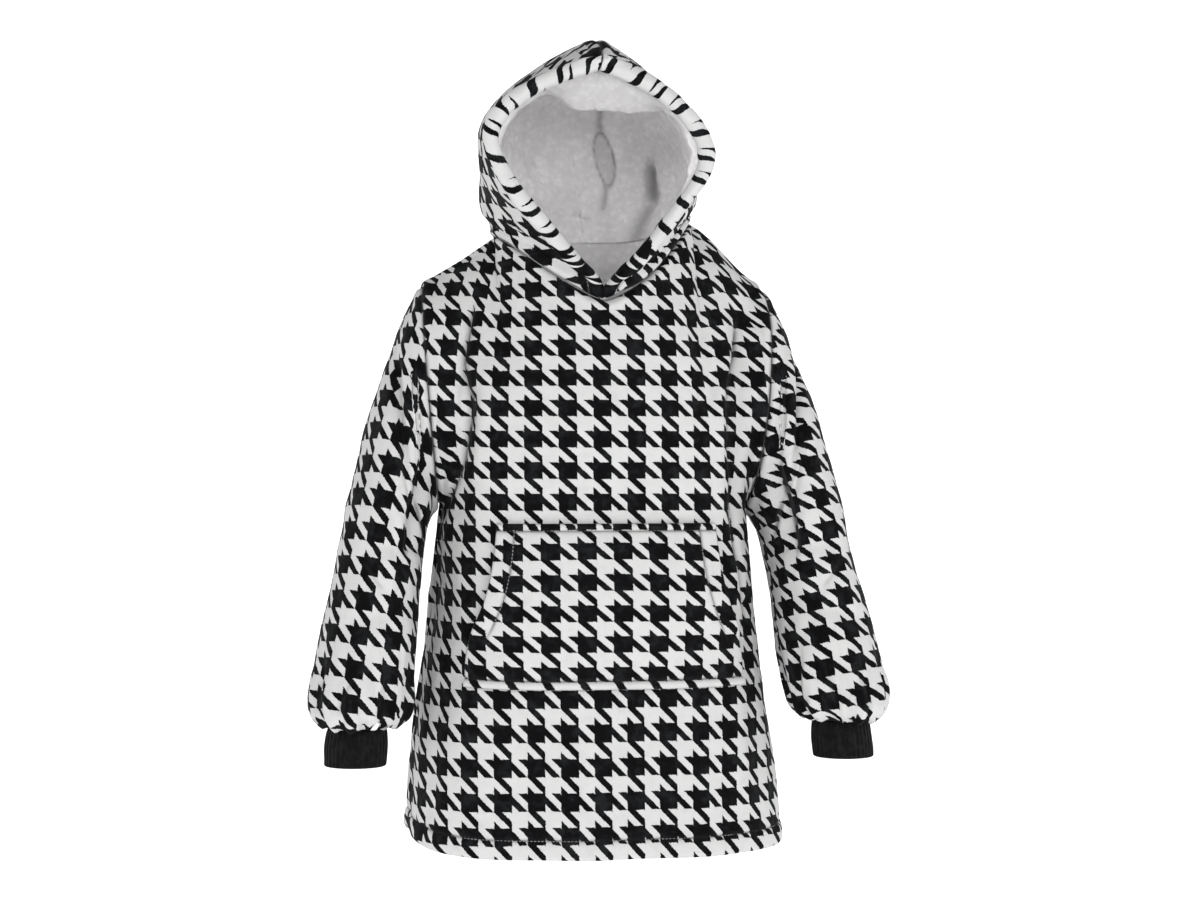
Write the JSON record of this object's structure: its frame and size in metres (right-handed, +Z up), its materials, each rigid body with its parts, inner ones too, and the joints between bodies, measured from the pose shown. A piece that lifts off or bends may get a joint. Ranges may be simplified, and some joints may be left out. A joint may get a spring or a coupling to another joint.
{
  "type": "oversized hoodie",
  "caption": "Oversized fleece pullover hoodie in its hollow worn form, with a raised lined hood, drop-shoulder sleeves gathered into rib cuffs, and a front pocket.",
  "frame": {"origin": "middle of the neck base, level with the points where the shoulder seams meet the neckline, where the wearer's neck and shoulders hold the garment", "axes": "+Z up, the front faces -Y, +X is the wearer's left"},
  "size_m": [0.7362, 0.2975, 1.0384],
  "materials": {
    "fleece": "short-pile flannel fleece, black and off-white houndstooth",
    "sherpa": "curly off-white sherpa pile",
    "rib_knit": "black rib knit"
  },
  "bodies": {
    "root": {"front_panel": "fleece", "back_panel": "fleece", "sleeve_left": "fleece", "sleeve_right": "fleece", "hood_left": "fleece", "hood_right": "fleece", "pocket": "fleece", "hood_lining_left": "sherpa", "hood_lining_right": "sherpa", "cuff_left": "rib_knit", "cuff_right": "rib_knit"}
  },
  "joints": []
}
